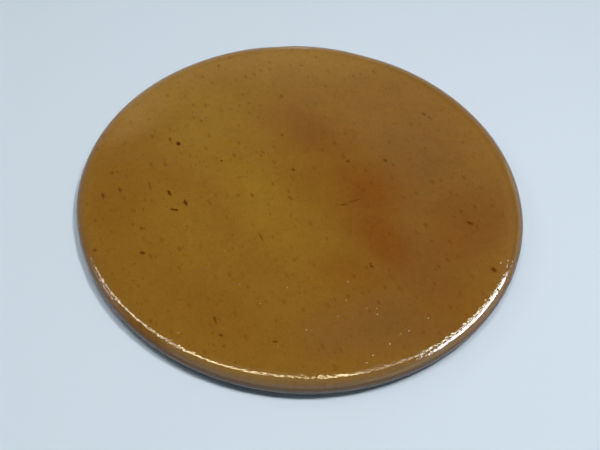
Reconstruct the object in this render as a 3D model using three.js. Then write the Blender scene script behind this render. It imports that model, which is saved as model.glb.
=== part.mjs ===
import * as THREE from "three";

// A ceramic pizza plate: a thick round slab of fired clay that stands on two low foot rings,
// with a glass glaze fused over its cooking surface, its rolled edge and the turn beneath it.
// Millimetres, +Z up, origin on the table under the middle of the plate.

// The plate over its glaze
const plateDiameter = 330;
const plateHeight = 16.5; // from the table to the cooking surface
const rimHeight = 9; // from the table to the line where the plate is widest

// The edge: the cooking surface rolls down to the rim, and the wall tucks in below it
const edgeRollWidth = 15;
const edgeTuckWidth = 6;

// The foot rings, bare clay that the plate stood on in the kiln
const footHeight = 1.5;
const footTreadWidth = 7; // the flat that touches the table
const footFlankWidth = 3; // the slope on each side of it
const outerFootInset = 22; // from the rim to the middle of the outer ring
const innerFootDiameter = 124; // to the middle of the inner ring

// The glaze: even on the flat, thin where it runs off the edge, and gathered in a bead
// where it was wiped back before the firing
const glazeThickness = 0.6;
const glazeEdgeThickness = 0.4;
const glazeBeadThickness = 0.9;
const glazeBeadLength = 1.6;
const glazeWipeHeight = 1.1; // bare clay left between the underside and the glaze

// Facets
const turnSegments = 96;
const rollSteps = 8;
const tuckSteps = 6;
const bareTuckSteps = 2;
const beadSteps = 4;
const flankSteps = 3;

const clayRadius = plateDiameter / 2 - glazeEdgeThickness;
const clayTop = plateHeight - glazeThickness;
const rollDrop = clayTop - rimHeight;
const tuckDrop = rimHeight - footHeight;
const wipeTurn = Math.asin(1 - glazeWipeHeight / tuckDrop);

// A point of the clay's edge, and the way out of the clay there. The turn is the angle
// along the edge: a quarter turn at the cooking surface, 0 at the rim, negative below it.
function edgeAt(turn) {
  const width = turn > 0 ? edgeRollWidth : edgeTuckWidth;
  const drop = turn > 0 ? rollDrop : tuckDrop;
  const point = new THREE.Vector2(
    clayRadius - width + width * Math.cos(turn),
    rimHeight + drop * Math.sin(turn),
  );
  const outward = new THREE.Vector2(drop * Math.cos(turn), width * Math.sin(turn)).normalize();
  return { point, outward };
}

// The turns from the cooking surface down to the glaze line, then on to the underside.
function turnsBetween(from, to, steps) {
  return Array.from({ length: steps + 1 }, (_, i) => THREE.MathUtils.lerp(from, to, i / steps));
}
const rollTurns = turnsBetween(Math.PI / 2, 0, rollSteps);
const glazedTuckTurns = turnsBetween(0, -wipeTurn, tuckSteps).slice(1);
const bareTuckTurns = turnsBetween(-wipeTurn, -Math.PI / 2, bareTuckSteps).slice(1);
const glazedTurns = [...rollTurns, ...glazedTuckTurns];

// The clay under the glaze, from the middle of the cooking surface to the glaze line.
function glazedClay() {
  return [new THREE.Vector2(0, clayTop), ...glazedTurns.map((turn) => edgeAt(turn).point)];
}

// How thick the glaze lies at a turn of the edge, before its bead closes.
function glazeDepth(turn) {
  if (turn > 0) {
    const thinning = Math.cos(turn) ** 2;
    return THREE.MathUtils.lerp(glazeThickness, glazeEdgeThickness, thinning);
  }
  return THREE.MathUtils.lerp(glazeEdgeThickness, glazeBeadThickness, Math.sin(turn) ** 2);
}

// The glaze's own surface, from the middle of the cooking surface to the start of its bead,
// then round the bead to the glaze line.
function glazeSurface() {
  const beadTurn = glazeBeadLength / Math.hypot(edgeTuckWidth, tuckDrop);
  const beadStart = -wipeTurn + beadTurn;
  const surfaceAt = (turn, depth) => {
    const { point, outward } = edgeAt(turn);
    return point.addScaledVector(outward, depth);
  };
  const open = glazedTurns
    .filter((turn) => turn > beadStart)
    .map((turn) => surfaceAt(turn, glazeDepth(turn)));
  const bead = Array.from({ length: beadSteps }, (_, i) => {
    const along = i / beadSteps;
    const closing = (along * Math.PI) / 2;
    const turn = beadStart - beadTurn * Math.sin(closing);
    return surfaceAt(turn, glazeDepth(beadStart) * Math.cos(closing));
  });
  return [new THREE.Vector2(0, plateHeight), ...open, ...bead];
}

// One foot ring, from its outer flank to its inner one. Each flank is an S curve, so that
// the ring runs into the underside and its tread has no sharp edge.
function footRing(middleRadius) {
  const flank = (treadEdge, outward) =>
    Array.from({ length: flankSteps + 1 }, (_, i) => {
      const along = i / flankSteps;
      const rise = (1 - Math.cos(along * Math.PI)) / 2;
      return new THREE.Vector2(treadEdge + outward * along * footFlankWidth, rise * footHeight);
    });
  const outer = flank(middleRadius + footTreadWidth / 2, 1).reverse();
  return [...outer, ...flank(middleRadius - footTreadWidth / 2, -1)];
}

// A closed profile of radius and height, turned round the plate's axis.
function turned(profile, material, name) {
  const mesh = new THREE.Mesh(new THREE.LatheGeometry(profile, turnSegments), material);
  mesh.name = name;
  return mesh;
}

function clayBody() {
  const bareTuck = bareTuckTurns.map((turn) => edgeAt(turn).point);
  const outerFoot = footRing(plateDiameter / 2 - outerFootInset);
  const innerFoot = footRing(innerFootDiameter / 2);
  const underside = [...bareTuck, ...outerFoot, ...innerFoot, new THREE.Vector2(0, footHeight)];
  const clay = new THREE.MeshStandardMaterial({ color: 0xb59a78, roughness: 0.85, metalness: 0 });
  return turned([...glazedClay(), ...underside].reverse(), clay, "clay_body");
}

function glazeCoat() {
  const glaze = new THREE.MeshStandardMaterial({ color: 0x86601f, roughness: 0.15, metalness: 0 });
  return turned([...glazedClay(), ...glazeSurface().reverse()], glaze, "glaze_coat");
}

const plate = new THREE.Group();
plate.add(clayBody(), glazeCoat());
plate.rotation.x = Math.PI / 2; // a lathe turns about Y, and the plate's axis is Z

export default plate;
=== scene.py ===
import math
import random

import bpy
from mathutils import Matrix, Vector, noise


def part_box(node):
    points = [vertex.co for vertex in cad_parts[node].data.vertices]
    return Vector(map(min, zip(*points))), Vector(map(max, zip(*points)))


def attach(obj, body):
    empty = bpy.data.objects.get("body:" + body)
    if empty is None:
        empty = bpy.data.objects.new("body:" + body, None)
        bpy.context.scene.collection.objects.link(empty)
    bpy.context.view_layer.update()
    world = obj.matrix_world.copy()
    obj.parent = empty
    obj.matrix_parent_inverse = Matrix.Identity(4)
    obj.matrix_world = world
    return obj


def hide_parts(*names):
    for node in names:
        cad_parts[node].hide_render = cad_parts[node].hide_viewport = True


# A ceramic pizza plate on a pale table: the clay body and the glaze fused over it.
# Metres, +Z up, origin on the table under the middle of the plate.

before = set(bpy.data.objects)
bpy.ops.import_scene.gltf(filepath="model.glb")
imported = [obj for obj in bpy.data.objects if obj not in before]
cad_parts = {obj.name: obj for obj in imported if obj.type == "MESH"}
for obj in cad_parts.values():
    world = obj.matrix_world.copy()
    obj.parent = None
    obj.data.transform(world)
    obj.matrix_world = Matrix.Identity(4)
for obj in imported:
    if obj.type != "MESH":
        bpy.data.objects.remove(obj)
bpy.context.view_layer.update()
mm = 0.001
print("frame loaded")

# What the clay and the glaze share. Overall sizes come from the frame.
edge = {
    "rimHeight": 9.0 * mm,  # the line where the plate is widest
    "rollWidth": 15.0 * mm,  # from the flat of the cooking surface out to the rim
    "tuckWidth": 6.0 * mm,  # how far the wall draws in below the rim
    "footHeight": 1.5 * mm,
    "turns": 360,  # facets round the plate
    "rollSteps": 22,
    "tuckSteps": 16,
}
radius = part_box("glaze_coat")[1].x
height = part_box("glaze_coat")[1].z

# How far a thrown plate strays from a true round
handmade = {
    "slip": 0.55 * mm,  # how far the rim may fall inside its circle
    "slipWaves": (3, 5, 8),  # how many times round the plate each wave of it goes
    "flats": [(74, 8, 0.75), (101, 5, 0.6), (203, 9, 0.35)],  # azimuth, half width, depth in mm
    "sag": 0.22 * mm,  # slow hollows in the cooking surface
    "sagSize": 85 * mm,
    "startRadius": 120 * mm,  # the middle is round, and the strays grow outwards
    "seed": 11,
}


def smoothStep(low, high, value):
    along = min(max((value - low) / (high - low), 0), 1)
    return along * along * (3 - 2 * along)


def wave(angle, seed, orders):
    # a slow wander round the plate, from -1 to 1
    draw = random.Random(seed)
    total = 0
    for order in orders:
        total += draw.uniform(0.4, 1) * math.sin(order * angle + draw.uniform(0, math.tau)) / order
    return total / sum(1 / order for order in orders)


def rimStray(angle):
    between = math.sin(2 * angle) ** 2  # 0 on the four axis lines, which keeps the overall size
    inward = handmade["slip"] * between * (0.5 + 0.5 * wave(angle, handmade["seed"], handmade["slipWaves"]))
    for azimuth, halfWidth, depth in handmade["flats"]:
        away = (math.degrees(angle) - azimuth + 180) % 360 - 180
        inward += depth * mm * math.exp(-((away / halfWidth) ** 2))
    return inward


def byHand(r, z, angle):
    # a point of the true profile, moved to where the hand-turned plate has it
    x, y = r * math.cos(angle), r * math.sin(angle)
    reach = smoothStep(handmade["startRadius"], radius, r)
    out = r - reach * rimStray(angle)
    hollow = 0.5 + 0.5 * noise.noise(Vector((x, y, 0)) / handmade["sagSize"])
    down = handmade["sag"] * hollow * smoothStep(0, height, z)
    return (out * math.cos(angle), out * math.sin(angle), z - down)


def turnedMesh(name, outline, turns):
    # a closed solid from an outline of (radius, height) that may change with the angle.
    # The outline starts on the axis over the plate and ends on the axis below it.
    angles = [math.tau * i / turns for i in range(turns)]
    outlines = [outline(angle) for angle in angles]
    steps = len(outlines[0])
    points = [byHand(*outlines[0][0], 0)]
    for step in range(1, steps - 1):
        points += [byHand(*outlines[i][step], angles[i]) for i in range(turns)]
    points.append(byHand(*outlines[0][-1], 0))
    faces = []
    last = len(points) - 1
    for i in range(turns):
        j = (i + 1) % turns
        faces.append((0, 1 + i, 1 + j))
        for ring in range(steps - 3):
            a, b = 1 + ring * turns, 1 + (ring + 1) * turns
            faces.append((a + i, b + i, b + j, a + j))
        end = 1 + (steps - 3) * turns
        faces.append((end + j, end + i, last))
    mesh = bpy.data.meshes.new(name)
    mesh.from_pydata(points, [], faces)
    mesh.validate()
    mesh.shade_smooth()
    piece = bpy.data.objects.new(name, mesh)
    bpy.context.scene.collection.objects.link(piece)
    return piece


# The glaze, from the middle of the cooking surface to its bead
glazeCoat = {
    "onFlat": 0.6 * mm,
    "atRim": 0.4 * mm,
    "atBead": 0.9 * mm,
    "beadLength": 1.6 * mm,
    "wipeHeight": 1.1 * mm,  # bare clay between the underside and the glaze
    "wipeWander": 0.45 * mm,  # the sponge that wiped it was held by hand
    "wipeWaves": (2, 5, 9, 16),
    "flatRings": 48,
    "beadSteps": 7,
    "seed": 5,
}
clayRadius = radius - glazeCoat["atRim"]
clayTop = height - glazeCoat["onFlat"]
rollDrop = clayTop - edge["rimHeight"]
tuckDrop = edge["rimHeight"] - edge["footHeight"]


def edgeAt(turn):
    # a point of the clay's edge, and the way out of the clay there
    width = edge["rollWidth"] if turn > 0 else edge["tuckWidth"]
    drop = rollDrop if turn > 0 else tuckDrop
    point = (clayRadius - width + width * math.cos(turn), edge["rimHeight"] + drop * math.sin(turn))
    out = Vector((drop * math.cos(turn), width * math.sin(turn))).normalized()
    return point, out


def wipeTurn(angle):
    # where the glaze ends below the rim, as a turn of the edge
    wander = glazeCoat["wipeWander"] * wave(angle, glazeCoat["seed"], glazeCoat["wipeWaves"])
    return math.asin(1 - (glazeCoat["wipeHeight"] + wander) / tuckDrop)


def evenTurns(start, end, steps):
    return [start + (end - start) * i / steps for i in range(steps + 1)]


def glazedTurns(angle):
    roll = evenTurns(math.pi / 2, 0, edge["rollSteps"])
    tuck = evenTurns(0, -wipeTurn(angle), edge["tuckSteps"])
    return roll + tuck[1:]


def glazeDepth(turn):
    if turn > 0:
        thinning = math.cos(turn) ** 2
        return glazeCoat["onFlat"] + (glazeCoat["atRim"] - glazeCoat["onFlat"]) * thinning
    gathering = math.sin(turn) ** 2
    return glazeCoat["atRim"] + (glazeCoat["atBead"] - glazeCoat["atRim"]) * gathering


def flatRadii(rings):
    flat = clayRadius - edge["rollWidth"]
    return [flat * i / rings for i in range(rings)]


def glazeOutline(angle):
    wiped = wipeTurn(angle)
    beadTurn = glazeCoat["beadLength"] / math.hypot(edge["tuckWidth"], tuckDrop)
    beadStart = -wiped + beadTurn

    def skinAt(turn, depth):
        point, out = edgeAt(turn)
        return (point[0] + out.x * depth, point[1] + out.y * depth)

    skin = [(r, height) for r in flatRadii(glazeCoat["flatRings"])]
    skin += [skinAt(turn, glazeDepth(turn)) for turn in evenTurns(math.pi / 2, 0, edge["rollSteps"])]
    skin += [skinAt(turn, glazeDepth(turn)) for turn in evenTurns(0, beadStart, edge["tuckSteps"])[1:]]
    for i in range(1, glazeCoat["beadSteps"]):
        closing = i / glazeCoat["beadSteps"] * math.pi / 2
        turn = beadStart - beadTurn * math.sin(closing)
        skin.append(skinAt(turn, glazeDepth(beadStart) * math.cos(closing)))
    fused = [edgeAt(turn)[0] for turn in reversed(glazedTurns(angle))]
    return skin + fused + [(0, clayTop)]


glaze = turnedMesh("glaze_skin", glazeOutline, edge["turns"])
print("glaze coat turned")

# The bare clay: what shows below the glaze line and underneath
clayBody = {
    "treadWidth": 7 * mm,
    "flankWidth": 3 * mm,
    "outerFoot": radius - 22 * mm,  # to the middle of each foot ring
    "innerFoot": 62 * mm,
    "flankSteps": 8,
    "bareTuckSteps": 5,
    "ridge": 0.07 * mm,  # what the turning tool left on the underside
    "ridgePitch": 7.5 * mm,
    "ringStep": 1.1 * mm,
}


def footRing(middle):
    # from its outer flank to its inner one, each an S curve
    outer = []
    for i in range(clayBody["flankSteps"] + 1):
        along = i / clayBody["flankSteps"]
        rise = (1 - math.cos(along * math.pi)) / 2 * edge["footHeight"]
        outer.append((clayBody["treadWidth"] / 2 + along * clayBody["flankWidth"], rise))
    ring = [(middle + away, rise) for away, rise in reversed(outer)]
    return ring + [(middle - away, rise) for away, rise in outer]


def turnedFloor(outer, inner):
    # the underside between two radii, with the soft ridges of the turning tool
    steps = max(2, round((outer - inner) / clayBody["ringStep"]))
    floor = []
    for i in range(1, steps):
        r = outer + (inner - outer) * i / steps
        ease = math.sin(math.pi * i / steps) ** 0.5  # the ridges die out towards both radii
        ridge = clayBody["ridge"] * ease * math.sin(math.tau * r / clayBody["ridgePitch"]) ** 2
        floor.append((r, edge["footHeight"] + ridge))
    return floor


def clayOutline(angle):
    footReach = clayBody["treadWidth"] / 2 + clayBody["flankWidth"]
    covered = [edgeAt(turn)[0] for turn in glazedTurns(angle)]
    bare = evenTurns(-wipeTurn(angle), -math.pi / 2, clayBody["bareTuckSteps"])
    wall = [edgeAt(turn)[0] for turn in bare[1:]]
    below = turnedFloor(wall[-1][0], clayBody["outerFoot"] + footReach)
    below += footRing(clayBody["outerFoot"])
    below += turnedFloor(clayBody["outerFoot"] - footReach, clayBody["innerFoot"] + footReach)
    below += footRing(clayBody["innerFoot"])
    below += turnedFloor(clayBody["innerFoot"] - footReach, 0)
    return [(0, clayTop)] + covered + wall + below + [(0, edge["footHeight"])]


clay = turnedMesh("clay_slab", clayOutline, edge["turns"])
print("clay body turned")


class Signal:  # a shader socket, so that shader maths reads as arithmetic
    def __init__(self, paint, socket):
        self.paint = paint
        self.socket = socket

    def __add__(self, other):
        return self.paint.number("ADD", self, other)

    def __sub__(self, other):
        return self.paint.number("SUBTRACT", self, other)

    def __rsub__(self, other):
        return self.paint.number("SUBTRACT", other, self)

    def __mul__(self, other):
        return self.paint.number("MULTIPLY", self, other)

    def __truediv__(self, other):
        return self.paint.number("DIVIDE", self, other)

    def __rtruediv__(self, other):
        return self.paint.number("DIVIDE", other, self)

    __radd__ = __add__
    __rmul__ = __mul__


class Paint:  # one node tree, and the one way that a node gets into it
    def __init__(self, tree):
        self.tree = tree
        tree.nodes.clear()

    def add(self, kind, settings=None, sockets=None, out=0):
        node = self.tree.nodes.new(kind)
        for setting, value in (settings or {}).items():
            setattr(node, setting, value)
        for key, value in (sockets or {}).items():
            if isinstance(value, Signal):
                self.tree.links.new(value.socket, node.inputs[key])
            else:
                node.inputs[key].default_value = value
        return Signal(self, node.outputs[out]) if node.outputs else node

    def number(self, operation, a, b):
        return self.add("ShaderNodeMath", {"operation": operation}, {0: a, 1: b})

    def highest(self, values):
        # takes a generator, so that each value is made just before it is compared and a long
        # list of marks doesn't fill the shader's working memory
        top = next(values)
        for value in values:
            top = self.number("MAXIMUM", top, value)
        return top

    def vector(self, operation, a, b=(0, 0, 0), out=0):
        return self.add("ShaderNodeVectorMath", {"operation": operation}, {0: a, 1: b}, out)

    def mix(self, a, b, share):
        # colour a where share is 0, colour b where it is 1
        settings = {"data_type": "RGBA", "clamp_factor": True}
        return self.add("ShaderNodeMix", settings, {0: share, 6: a, 7: b}, 2)

    def fade(self, value, start, end):
        # 0 at start and 1 at end, eased, with start above end or below it. The step keeps
        # within 0 and 1 by itself, and a clamp would only cost the shader memory.
        settings = {"interpolation_type": "SMOOTHSTEP", "clamp": False}
        sockets = {"Value": value, "From Min": start, "From Max": end}
        return self.add("ShaderNodeMapRange", settings, sockets)

    def grain(self, place, size, detail=2.0, roughness=0.5):
        # cloudy noise from 0 to 1, with lumps of about that size in mm
        sockets = {"Vector": place, "Scale": 1 / size, "Detail": detail, "Roughness": roughness}
        return self.add("ShaderNodeTexNoise", {}, sockets)

    def wander(self, place, size, reach, upright=1):
        # the place, pushed about by some reach mm, in lumps of about that size
        sockets = {"Vector": place, "Scale": 1 / size, "Detail": 2.0}
        push = self.add("ShaderNodeTexNoise", {}, sockets, "Color")
        push = self.vector("SUBTRACT", push, (0.5, 0.5, 0.5))
        push = self.vector("MULTIPLY", push, (4 * reach, 4 * reach, 4 * reach * upright))
        return self.vector("ADD", place, push)

    def spot(self, place, x, y, long, wide, heading):
        # 1 in the middle of a spot on the plate, a half on its outline, 0 at twice its size
        sockets = {
            "Vector": place,
            "Location": (x, y, 0),
            "Rotation": (0, 0, math.radians(heading)),
            "Scale": (long, wide, 1),
        }
        local = self.add("ShaderNodeMapping", {"vector_type": "TEXTURE"}, sockets)
        return self.add("ShaderNodeTexGradient", {"gradient_type": "SPHERICAL"}, {"Vector": local}, "Fac")

    def dots(self, place, spacing, size, share, space="3D"):
        # round dots of that size, up to one in each cell, in that share of the cells
        settings = {"voronoi_dimensions": space}
        cells = {"Vector": place, "Scale": 1 / spacing, "Randomness": 0.9}
        away = self.add("ShaderNodeTexVoronoi", settings, cells, "Distance")
        draw = self.add("ShaderNodeTexVoronoi", settings, cells, "Color")
        chance = self.add("ShaderNodeSeparateColor", {}, {0: draw}, 0)
        spread = self.add("ShaderNodeSeparateColor", {}, {0: draw}, 1)
        there = self.fade(chance, share, share - 0.02)
        across = size / spacing / 2 * (0.45 + spread)
        return self.fade(away / across, 1, 0.4) * there


def newMaterial(name):
    material = bpy.data.materials.new(name)
    material.use_nodes = True
    return material, Paint(material.node_tree)


def inMillimetres(paint):
    place = paint.add("ShaderNodeTexCoord", out="Object")
    return paint.vector("MULTIPLY", place, (1 / mm, 1 / mm, 1 / mm))


# The honey-brown glaze. Places and sizes on the plate are in mm.
glazeLook = {
    "amber": (0.236, 0.108, 0.0104, 1),
    "olive": (0.267, 0.139, 0.0122, 1),
    "rust": (0.192, 0.0625, 0.0055, 1),
    "umber": (0.222, 0.098, 0.0155, 1),
    "bronze": (0.188, 0.082, 0.0172, 1),
    "hazel": (0.297, 0.156, 0.026, 1),
    "fawn": (0.330, 0.180, 0.040, 1),
    "wall": (0.150, 0.066, 0.017, 1),  # painted shade: a darker, duller colour over the rolled edge and the wall
    "speck": (0.074, 0.019, 0.0, 1),
    "freckle": (0.124, 0.037, 0.0, 1),
    "grain": -62,  # the way that the specks were drawn out, in degrees from +X
    "roughness": 0.10,
    "smearRoughness": 0.07,  # how far smears on the gloss change that
    "speckRoughness": 0.12,  # what the specks add
    "wallRoughness": 0.22,  # what the wall adds
    "ior": 1.62,
    "drift": (60, 12),  # size and reach of the wander in the outlines of the pools
    "wallShadeRadii": (157, 165),  # between these radii the painted shade colour comes in
    "wallShare": 0.7,
    "wallShadeHeights": (13.5, 6.5),  # between these heights painted shade darkens the wall downwards
    "wallShade": 0.72,
    # size of the lumps, detail, roughness, and how far they lighten and darken the glass
    "mottling": [
        (22, 4, 0.55, 0.16),
        (4.5, 3, 0.6, 0.26),
        (0.9, 2, 0.6, 0.47),
    ],
    # heights of the relief, and the sizes of what makes it
    "swellHeight": 0.25,
    "swellSize": 13,
    "peelHeight": 0.05,
    "patchHeight": 0.15,  # how much higher the peel stands in its patches
    "peelSize": 2.0,
    "smoothRadii": (160.8, 158.4),  # outwards of these the melt is drawn smooth over the edge
    "blisterHeight": 0.32,
    "blisterRadius": 1.1,
    # the colours over the amber, from the bottom up: x, y, length, width, heading, strength
    "layers": {
        "umber": [
            (85, 50, 190, 120, 100, 0.9),
        ],
        "bronze": [
            (60, -115, 150, 74, 18, 0.9),
            (88, 15, 130, 90, 80, 0.75),
            (125, -25, 150, 80, 80, 0.9),
            (85, -60, 130, 90, -55, 0.9),
        ],
        "hazel": [
            (-30, 140, 250, 70, 6, 0.9),
            # painted light: a lighter hazel band along the left edge of the plate
            (-160, -28, 150, 40, -84, 0.4),
        ],
        "fawn": [
            (-132, 88, 160, 74, 54, 0.95),
        ],
        "olive": [
            (-80, 60, 170, 100, -60, 0.9),
            (-35, -5, 150, 70, -55, 0.9),
            (-80, -40, 110, 70, -75, 0.45),
            (5, -60, 90, 40, -80, 0.1),
            (-40, 92, 80, 50, -50, 0.45),
        ],
        "rust": [
            (8, 52, 120, 64, -40, 0.65),
            (5, 12, 60, 44, -50, 0.4),
            (46, 0, 110, 70, -60, 1.0),
            (62, -42, 96, 62, -55, 1.0),
            (98, -85, 110, 60, -45, 0.45),
            (118, -38, 110, 66, 65, 0.6),
            (40, -76, 80, 46, 0, 0.5),
            (-135, -30, 80, 50, -75, 0.3),
            (-55, -112, 110, 50, -40, 0.25),
        ],
    },
    # where the orange peel is strongest, in the same six values
    "peelPatches": [
        (118, -88, 190, 56, 50, 0.85),
        (6, -152, 90, 30, 3, 1.0),
        (60, -110, 110, 70, 10, 0.4),
        (64, -144, 70, 24, 24, 0.8),
        (143, -66, 50, 34, 65, 1.0),
    ],
    # and where it goes on over the edge
    "edgePeel": [
        (-133, -90, 90, 30, -56, 0.8),
        (-83, -138, 60, 26, -31, 1.0),
    ],
    # x, y of the blisters that catch the light
    "blisters": [
        (-61, -81), (-22, -105.5), (-5, -91.5), (-37, -92), (-72, -132), (-8, -137), (35, -98),
        (36, -83), (49, -103), (55.5, -102.5), (56, -107), (89.5, -107), (76.5, -118), (71, -121),
        (13, -123), (10, -123), (30, -111), (64, -129), (53, -138), (49, -144), (68, -34), (142, -57),
    ],
    # more of them, scattered along the rolled edge at the right
    "edgeBlisters": {"azimuths": (325, 342), "radii": (157, 162), "count": 13, "seed": 4},
    # x, y, length, width, heading, strength
    "specks": [
        (-97, 33, 5.5, 3.6, -70, 1.0),
        (-96, -17, 7.0, 3.0, -65, 1.0),
        (-83, -25, 7.0, 3.2, -65, 1.0),
        (-90, -32, 7.0, 2.8, -10, 0.95),
        (-104, 37, 5.5, 2.2, -60, 0.6),
        (-62, 18.5, 3.4, 2.8, 0, 0.6),
        (-22, 94, 4.5, 3.0, -70, 0.56),
        (-7.5, 15, 4.5, 3.2, -50, 0.7),
        (-18.5, 50.5, 3.2, 3.0, 0, 0.62),
        (93.5, 85.5, 5.5, 3.0, -45, 0.52),
        (97.5, 82, 4.0, 2.6, -35, 0.55),
        (62, 31.5, 5.0, 3.4, -20, 0.6),
        (33.5, 28, 4.0, 3.6, 0, 0.6),
        (31, -15.5, 7.0, 2.6, 5, 0.62),
        (39, -11, 11, 1.6, 22, 0.6),
        (123, -24, 6.5, 3.8, -25, 0.7),
        (137, -64, 6.5, 4.8, -20, 0.7),
        (52, -68.5, 5.5, 3.0, -60, 0.65),
        (-106, -72, 5.0, 3.4, 10, 0.74),
        (-132, -17, 7.0, 2.8, -65, 0.54),
        (-143, -24, 7.5, 3.0, -70, 0.6),
        (-141, -1.5, 4.0, 3.4, 90, 0.5),
        (-110, -51, 4.5, 3.4, 0, 0.5),
        (-139, -72, 4.5, 4.0, 0, 0.5),
        (-26, -51, 12, 2.0, -62, 0.5),
        (-8, -13, 5.5, 2.4, -45, 0.5),
        (-36, -13, 5.5, 3.0, -70, 0.45),
        (-50, -121, 9.0, 2.4, -70, 0.6),
        (-45, -132, 4.5, 3.0, -30, 0.6),
        (-10, -134, 5.5, 2.6, 0, 0.55),
        (-77, 125, 5.0, 3.0, -70, 0.4),
        (-111, -12, 12, 1.6, -68, 0.52),
    ],
    # x, y of the faint ones, all of one size and drawn out alike
    "faintSpecks": [
        (-127, -25), (-113, -25), (-112, -34), (-46, -14), (-42, -140), (-104, -99), (-1.5, -68),
        (-79.5, -82), (30, 57), (38, 53), (47, 20), (42, 3), (123, 57), (-88, 110), (-80, 104),
        (-35, 134), (-46, 72), (-33, 27), (-89, 62), (71, -85), (46, -92), (68, 28), (128, -27),
    ],
    "faintSpeck": (4.2, 2.5, 0.36),  # length, width, strength
    # spacing, size, share of the places taken, strength, and what is added where they crowd
    "freckleDots": [
        (8.5, 2.6, 0.55, 0.22, 0.24),
        (3.4, 1.25, 0.5, 0.24, 0.14),
    ],
    "freckleStretch": 1.9,  # how much longer than wide they are, along the grain
    "crowdSize": 38,
}


def scattered(azimuths, radii, count, seed):
    # places in mm, at random between two azimuths and two radii
    draw = random.Random(seed)
    places = []
    for _ in range(count):
        azimuth, r = math.radians(draw.uniform(*azimuths)), draw.uniform(*radii)
        places.append((r * math.cos(azimuth), r * math.sin(azimuth)))
    return places


def glazeMaterial():
    material, paint = newMaterial("honeyGlaze")
    place = inMillimetres(paint)
    flat = paint.vector("MULTIPLY", place, (1, 1, 0))

    # slow pools of colour, where the melt lay thicker or thinner
    drift = paint.wander(flat, *glazeLook["drift"], upright=0)

    def pools(listed, outer=0.35, inner=1):
        return paint.highest(
            paint.fade(paint.spot(drift, *spot), outer, inner) * strength for *spot, strength in listed
        )

    colour = glazeLook["amber"]
    for tint, listed in glazeLook["layers"].items():
        colour = paint.mix(colour, glazeLook[tint], pools(listed))

    # mottling in the glass, coarse to fine, and painted shade over the rolled edge and down the wall
    shade = 1
    for size, detail, rough, depth in glazeLook["mottling"]:
        shade = shade + (paint.grain(place, size, detail, rough) - 0.5) * depth
    fromMiddle = paint.vector("LENGTH", flat, out="Value")
    up = paint.add("ShaderNodeSeparateXYZ", {}, {0: place}, "Z")
    # painted shade: the rolled edge and the wall take the darker colour
    rim = paint.fade(fromMiddle, *glazeLook["wallShadeRadii"])
    colour = paint.mix(colour, glazeLook["wall"], rim * glazeLook["wallShare"])
    # painted shade: darker towards the bottom of the wall
    low = paint.fade(up, *glazeLook["wallShadeHeights"])
    shade = shade * (1 - low * glazeLook["wallShade"])

    # iron specks: those that stand out, and the small ones between them
    ragged = paint.wander(flat, 1.6, 0.5, upright=0)
    crumbs = (paint.grain(flat, 1.1, 2, 0.6) - 0.5) * 0.8
    long, wide, strength = glazeLook["faintSpeck"]
    faint = [(x, y, long, wide, glazeLook["grain"], strength) for x, y in glazeLook["faintSpecks"]]
    iron = paint.highest(
        paint.fade(paint.spot(ragged, *spot) - crumbs, 0.425, 0.825) * strength
        for *spot, strength in glazeLook["specks"] + faint
    )
    turn = (0, 0, math.radians(glazeLook["grain"]))
    sockets = {"Vector": ragged, "Rotation": turn, "Scale": (glazeLook["freckleStretch"], 1, 1)}
    drawnOut = paint.add("ShaderNodeMapping", {"vector_type": "TEXTURE"}, sockets)
    crowds = paint.fade(paint.grain(flat, glazeLook["crowdSize"], 2, 0.6), 0.38, 0.62)
    small = paint.highest(
        paint.dots(drawnOut, spacing, size, share, "2D") * (strength + crowds * added)
        for spacing, size, share, strength, added in glazeLook["freckleDots"]
    )
    small = small * (1 - low)
    colour = paint.mix(colour, glazeLook["freckle"], paint.number("MAXIMUM", small, iron * 1.2))
    colour = paint.mix(colour, glazeLook["speck"], paint.fade(iron, 0.3, 1))
    colour = paint.add("ShaderNodeVectorMath", {"operation": "SCALE"}, {"Vector": colour, "Scale": shade})

    # the skin of the glass: long swells, orange peel that comes and goes, and small blisters
    swell = paint.grain(place, glazeLook["swellSize"], 1, 0.5)
    peel = paint.grain(place, glazeLook["peelSize"], 1, 0.4)
    drawn = paint.fade(fromMiddle, *glazeLook["smoothRadii"])
    more = glazeLook["patchHeight"]
    crisp = glazeLook["peelHeight"] + pools(glazeLook["peelPatches"], 0.4, 0.85) * drawn * more
    crisp = crisp + pools(glazeLook["edgePeel"], 0.4, 0.85) * more
    blisters = paint.highest(
        paint.fade(paint.vector("DISTANCE", flat, (x, y, 0), out="Value"), glazeLook["blisterRadius"], 0)
        for x, y in glazeLook["blisters"] + scattered(**glazeLook["edgeBlisters"])
    )
    relief = swell * glazeLook["swellHeight"] + peel * crisp + blisters * glazeLook["blisterHeight"]
    normal = paint.add("ShaderNodeBump", {}, {"Distance": mm, "Height": relief})

    smear = paint.grain(place, 30, 3, 0.6)
    roughness = glazeLook["roughness"] + (smear - 0.5) * glazeLook["smearRoughness"]
    roughness = roughness + iron * glazeLook["speckRoughness"] + low * glazeLook["wallRoughness"]
    sockets = {
        "Base Color": colour,
        "Roughness": roughness,
        "IOR": glazeLook["ior"],
        "Normal": normal,
    }
    shader = paint.add("ShaderNodeBsdfPrincipled", {}, sockets)
    paint.add("ShaderNodeOutputMaterial", {}, {"Surface": shader})
    return material


# The bare fired clay. Sizes are in mm.
clayLook = {
    "clay": (0.46, 0.32, 0.19, 1),
    "flash": (0.40, 0.19, 0.085, 1),  # the blush that the kiln leaves next to the glaze
    "sand": (0.60, 0.47, 0.33, 1),
    "iron": (0.10, 0.055, 0.03, 1),
    "tread": (0.33, 0.245, 0.165, 1),  # rubbed and soiled by the table
    "roughness": 0.82,
    "blushRadii": (148, 163),  # between these the blush comes in
    "wornHeights": (0.55, 0.1),  # between these the wear on the treads comes in, downwards
    # spacing, size, and share of the places taken
    "gritDots": (2.4, 0.8, 0.5),
    "ironDots": (9, 1.3, 0.5),
    # heights of the relief
    "markHeight": 0.16,
    "toothHeight": 0.10,
    "gritHeight": 0.06,
}


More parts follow.
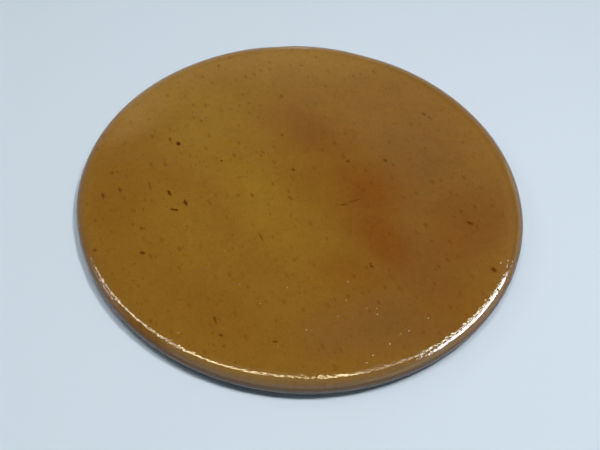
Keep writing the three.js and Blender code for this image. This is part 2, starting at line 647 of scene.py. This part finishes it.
def clayMaterial():
    material, paint = newMaterial("bareClay")
    place = inMillimetres(paint)
    flat = paint.vector("MULTIPLY", place, (1, 1, 0))
    away = paint.vector("LENGTH", flat, out="Value")
    up = paint.add("ShaderNodeSeparateXYZ", {}, {0: place}, "Z")

    cloud = paint.grain(place, 35, 4, 0.6)
    colour = paint.mix(clayLook["clay"], clayLook["sand"], paint.fade(cloud, 0.45, 0.75) * 0.5)
    blush = paint.fade(away + (cloud - 0.5) * 22, *clayLook["blushRadii"])
    colour = paint.mix(colour, clayLook["flash"], blush * 0.8)
    worn = paint.fade(up + (paint.grain(place, 6, 3) - 0.5) * 0.5, *clayLook["wornHeights"])
    colour = paint.mix(colour, clayLook["tread"], worn * 0.75)
    grit = paint.dots(place, *clayLook["gritDots"])
    colour = paint.mix(colour, clayLook["sand"], grit * 0.5)
    iron = paint.dots(paint.wander(place, 1, 0.4), *clayLook["ironDots"])
    colour = paint.mix(colour, clayLook["iron"], iron * 0.8)

    # turning marks, sand grains and pores
    sockets = {"W": away, "Scale": 0.9, "Detail": 3.0}
    marks = paint.add("ShaderNodeTexNoise", {"noise_dimensions": "1D"}, sockets)
    tooth = paint.grain(place, 0.8, 3, 0.65)
    relief = marks * clayLook["markHeight"] + tooth * clayLook["toothHeight"]
    relief = relief + grit * clayLook["gritHeight"]
    normal = paint.add("ShaderNodeBump", {}, {"Distance": mm, "Height": relief})
    roughness = clayLook["roughness"] - worn * 0.2
    sockets = {"Base Color": colour, "Roughness": roughness, "Normal": normal}
    shader = paint.add("ShaderNodeBsdfPrincipled", {}, sockets)
    paint.add("ShaderNodeOutputMaterial", {}, {"Surface": shader})
    return material


glaze.data.materials.append(glazeMaterial())
clay.data.materials.append(clayMaterial())
for piece, node, slotName in [(glaze, "glaze_coat", "honey_glaze"), (clay, "clay_body", "bare_clay")]:
    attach(piece, "root")
    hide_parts(node)
print("finishes painted")

# The table top, the room and the lamps
studio = {
    "table": (0.605, 0.69, 0.775, 1),
    "tableSize": 6,
    "horizon": (0.33, 0.36, 0.42, 1),
    "ceiling": (0.09, 0.087, 0.052, 1),
    "behind": (0.09, 0.13, 0.19, 1),  # the room behind the camera
    "aim": (0, -0.1, 0),
    "glow": (0.24, 0.23, 0.21, 1),  # a light wall behind the plate
    # where, on the way up, back or sideways, one colour of the room goes over into the next
    "ceilingUp": (0.10, 0.60),
    "behindBack": (-0.1, -0.7),
    "glowFoot": (0.50, 0.63),
    "glowTop": (0.745, 0.68),
    "glowBack": (0.1, 0.5),
    "glowSide": (-0.42, -0.22),
    # both ends, width, radiance, colour, and whether it lights the scene or shows in the gloss alone
    "lamps": {
        "softKey": ((0.35, -0.12, 1.5), (0.65, -0.12, 1.5), 0.3, 53, (1, 1, 1), "light"),
        "softTop": ((-0.45, -0.1, 1.6), (0.05, -0.1, 1.6), 0.3, 17, (1, 1, 1), "light"),
        "softLeft": ((-1.3, -0.1, 1.2), (-1.3, 0.8, 1.2), 0.5, 2.6, (1, 1, 1), "light"),
        "gleamFront": ((-0.72, -0.34, 1.5), (0.50, -0.33, 1.5), 0.095, 20, (1.0, 0.9, 0.56), "gloss"),
        "gleamJoin": ((0.50, -0.33, 1.5), (0.85, -0.17, 1.5), 0.08, 9, (1.0, 0.95, 0.8), "gloss"),
        "gleamLeft": ((-0.72, -0.36, 1.5), (-2.65, 0.35, 1.5), 0.115, 16, (1.0, 0.94, 0.74), "gloss"),
        "gleamRight": ((1.40, -0.57, 1.5), (3.0, 0.85, 1.5), 0.30, 21, (1.0, 0.96, 1.0), "gloss"),
        "gleamInner": ((0.93, -0.20, 1.5), (2.12, 0.64, 1.5), 0.15, 19, (0.93, 1.0, 0.78), "gloss"),
        "gleamLow": ((-1.48, -0.24, 0.8), (-1.78, -0.02, 0.8), 0.14, 8, (1.0, 0.88, 0.9), "gloss"),
        "gleamFar": ((-0.2, 3.0, 0.5), (-0.04, 3.0, 0.5), 0.10, 8, (1.0, 0.95, 0.75), "gloss"),
        "paleHigh": ((-1.4, -0.95, 1.4), (2.4, -0.95, 1.4), 0.75, 0.42, (0.5, 1.0, 0.75), "gloss"),
        "paleLeft": ((-2.4, -0.8, 0.75), (-2.4, 0.35, 0.75), 0.8, 0.5, (0.6, 0.9, 1.0), "gloss"),
        "paleLow": ((-1.8, -1.5, 0.72), (1.0, -1.5, 0.72), 1.0, 0.72, (0.45, 0.9, 1.0), "gloss"),
        "paleRight": ((1.0, -1.5, 0.72), (2.4, 0.3, 0.5), 0.9, 1.0, (0.85, 1.0, 0.85), "gloss"),
        "paleSide": ((2.4, 0.3, 0.5), (1.7, 2.0, 0.45), 0.7, 0.55, (0.95, 1.0, 0.6), "gloss"),
    },
}


def layTable():
    half = studio["tableSize"] / 2
    mesh = bpy.data.meshes.new("table_top")
    corners = [(-half, -half, 0), (half, -half, 0), (half, half, 0), (-half, half, 0)]
    mesh.from_pydata(corners, [], [(0, 1, 2, 3)])
    table = bpy.data.objects.new("table_top", mesh)
    bpy.context.scene.collection.objects.link(table)
    material, paint = newMaterial("palePaper")
    sockets = {"Base Color": studio["table"], "Roughness": 0.9, "Specular IOR Level": 0.2}
    shader = paint.add("ShaderNodeBsdfPrincipled", {}, sockets)
    paint.add("ShaderNodeOutputMaterial", {}, {"Surface": shader})
    mesh.materials.append(material)


def paintRoom():
    world = bpy.data.worlds.new("room")
    bpy.context.scene.world = world
    world.use_nodes = True
    paint = Paint(world.node_tree)
    heading = paint.add("ShaderNodeTexCoord", out="Generated")
    side = paint.add("ShaderNodeSeparateXYZ", {}, {0: heading}, "X")
    back = paint.add("ShaderNodeSeparateXYZ", {}, {0: heading}, "Y")
    up = paint.add("ShaderNodeSeparateXYZ", {}, {0: heading}, "Z")
    colour = paint.mix(studio["horizon"], studio["ceiling"], paint.fade(up, *studio["ceilingUp"]))
    colour = paint.mix(colour, studio["behind"], paint.fade(back, *studio["behindBack"]))
    wall = paint.fade(up, *studio["glowTop"]) * paint.fade(up, *studio["glowFoot"])
    wall = wall * paint.fade(back, *studio["glowBack"]) * paint.fade(side, *studio["glowSide"])
    colour = paint.mix(colour, studio["glow"], wall)
    light = paint.add("ShaderNodeBackground", {}, {"Color": colour, "Strength": 1.0})
    paint.add("ShaderNodeOutputWorld", {}, {"Surface": light})


def hangLamp(name, start, end, width, radiance, colour, does):
    start, end = Vector(start), Vector(end)
    lamp = bpy.data.lights.new(name, "AREA")
    lamp.shape = "RECTANGLE"
    lamp.size, lamp.size_y = width, (end - start).length
    lamp.energy = radiance * math.pi * lamp.size * lamp.size_y
    lamp.color = colour
    holder = bpy.data.objects.new(name, lamp)
    bpy.context.scene.collection.objects.link(holder)
    middle = (start + end) / 2
    along = (end - start).normalized()
    toPlate = Vector(studio["aim"]) - middle
    facing = (toPlate - toPlate.project(along)).normalized()
    across = facing.cross(along)
    holder.matrix_world = Matrix(((*across, 0), (*along, 0), (*-facing, 0), (*middle, 1))).transposed()
    holder.visible_diffuse = does == "light"
    holder.visible_glossy = does == "gloss"
    holder.visible_camera = False


layTable()
paintRoom()
for lampName, lampSettings in studio["lamps"].items():
    hangLamp(lampName, *lampSettings)
print("studio lit")

# The camera, at the photograph's place. Lens and frame are those of a 600 by 450 picture.
viewpoint = {
    "elevation": math.radians(51.656),
    "roll": math.radians(4.258),
    "distance": 630.43 * mm,
    "lens": 50,
    "sensor": 36,
    "frameWidth": 600,
    "originRight": 1.07,  # the origin lies this many pixels right of the frame's middle
    "originDown": -25.33,  # and this many below it
}


def setCamera():
    elevation, roll = viewpoint["elevation"], viewpoint["roll"]
    forward = Vector((0, math.cos(elevation), -math.sin(elevation)))
    level = Vector((1, 0, 0))
    upright = level.cross(forward)
    right = math.cos(roll) * level + math.sin(roll) * upright
    up = right.cross(forward)
    focal = viewpoint["lens"] / viewpoint["sensor"] * viewpoint["frameWidth"]
    perPixel = viewpoint["distance"] / focal
    place = -forward * viewpoint["distance"]
    place += (up * viewpoint["originDown"] - right * viewpoint["originRight"]) * perPixel
    data = bpy.data.cameras.new("camera")
    data.lens = viewpoint["lens"]
    data.sensor_width = viewpoint["sensor"]
    data.clip_start = 0.01
    camera = bpy.data.objects.new("camera", data)
    bpy.context.scene.collection.objects.link(camera)
    camera.matrix_world = Matrix(((*right, 0), (*up, 0), (*-forward, 0), (*place, 1))).transposed()
    bpy.context.scene.camera = camera


setCamera()
bpy.context.scene.view_settings.view_transform = "Standard"
print("camera placed")
